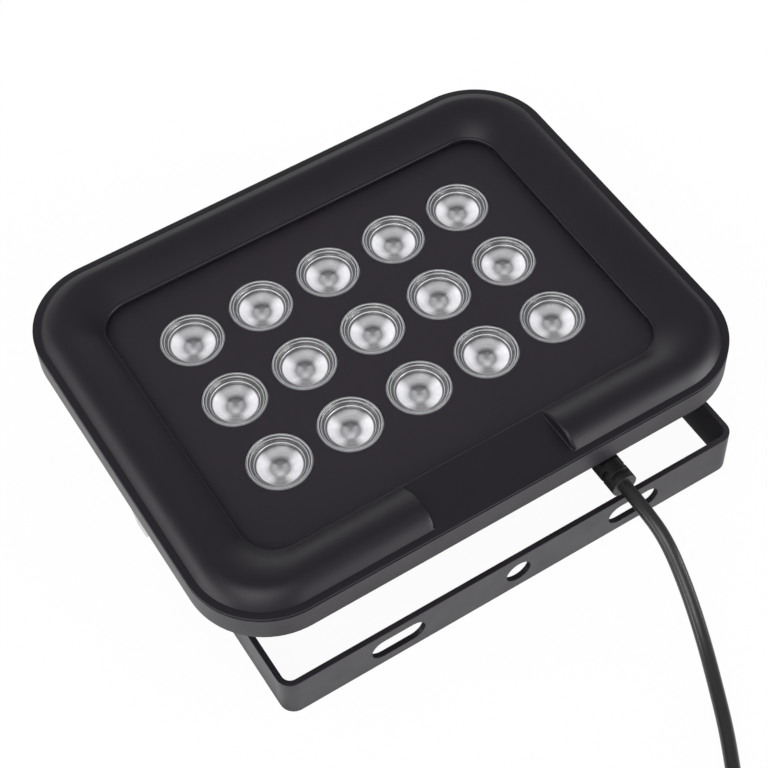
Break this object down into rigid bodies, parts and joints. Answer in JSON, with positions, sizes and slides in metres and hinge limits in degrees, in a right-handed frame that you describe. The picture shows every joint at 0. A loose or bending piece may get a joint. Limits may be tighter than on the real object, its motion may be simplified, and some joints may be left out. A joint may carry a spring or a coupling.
{
  "type": "infrared illuminator",
  "caption": "Weatherproof infrared illuminator with a cushion-shaped bezel, a black lens window, a finned housing, a tilting U-bracket and a lead with a barrel plug",
  "frame": {"origin": "centre of the rear face, on the end of the middle fin, halfway along the head's length and height", "axes": "+X along the head's long side, to the right as seen from the front with the bracket's base down; +Y up the short side, away from the bracket's base; +Z out of the window"},
  "size_m": [0.2294, 0.2995, 0.0483],
  "materials": {
    "bezel_plastic": "black moulded plastic, semi-matt",
    "panel_plastic": "black plate, semi-matt",
    "seal_rubber": "black silicone rubber",
    "housing_metal": "black powder coat on cast aluminium",
    "board_aluminium": "white-masked aluminium board",
    "board_laminate": "green glass-fibre laminate",
    "inductor_ferrite": "dark ferrite",
    "component_metal": "bare aluminium can",
    "chip_plastic": "black moulded package",
    "wire_red": "red insulation",
    "wire_black": "black insulation",
    "cable_rubber": "black flexible sheath, semi-matt",
    "fastener_steel": "plain zinc-plated steel",
    "washer_nylon": "natural nylon",
    "bracket_steel": "black powder coat on steel strip",
    "contact_metal": "nickel plate",
    "insulator_plastic": "black plastic",
    "lens_acrylic": "clear polished acrylic",
    "emitter_package": "dark clear package"
  },
  "bodies": {
    "lamp": {"front_bezel": "bezel_plastic", "window_panel": "panel_plastic", "window_gasket": "seal_rubber", "rear_housing": "housing_metal", "emitter_board": "board_aluminium", "driver_board": "board_laminate", "driver_inductor": "inductor_ferrite", "driver_capacitor": "component_metal", "driver_chip": "chip_plastic", "supply_wire_positive": "wire_red", "supply_wire_negative": "wire_black", "emitter_wire_positive": "wire_red", "emitter_wire_negative": "wire_black", "strain_relief": "cable_rubber", "bezel_screws": "fastener_steel", "board_screws": "fastener_steel", "driver_screws": "fastener_steel", "pivot_bolts": "fastener_steel", "flat_washers": "fastener_steel", "spring_washers": "fastener_steel", "friction_washers": "washer_nylon", "cable": "cable_rubber", "cable_coil": "cable_rubber", "cable_tail": "cable_rubber", "plug_body": "cable_rubber", "plug_barrel": "contact_metal", "plug_insulator": "insulator_plastic", "plug_contact": "contact_metal", "lens_01": "lens_acrylic", "lens_02": "lens_acrylic", "lens_03": "lens_acrylic", "lens_04": "lens_acrylic", "lens_05": "lens_acrylic", "lens_06": "lens_acrylic", "lens_07": "lens_acrylic", "lens_08": "lens_acrylic", "lens_09": "lens_acrylic", "lens_10": "lens_acrylic", "lens_11": "lens_acrylic", "lens_12": "lens_acrylic", "lens_13": "lens_acrylic", "lens_14": "lens_acrylic", "lens_15": "lens_acrylic", "emitter_01": "emitter_package", "emitter_02": "emitter_package", "emitter_03": "emitter_package", "emitter_04": "emitter_package", "emitter_05": "emitter_package", "emitter_06": "emitter_package", "emitter_07": "emitter_package", "emitter_08": "emitter_package", "emitter_09": "emitter_package", "emitter_10": "emitter_package", "emitter_11": "emitter_package", "emitter_12": "emitter_package", "emitter_13": "emitter_package", "emitter_14": "emitter_package", "emitter_15": "emitter_package"},
    "bracket": {"bracket": "bracket_steel"}
  },
  "joints": [
    {"name": "bracket_tilt", "type": "hinge", "parent": "lamp", "child": "bracket", "pos_m": [0, 0, 0.009], "axis": [1, 0, 0], "range_deg": [0, 180]}
  ]
}
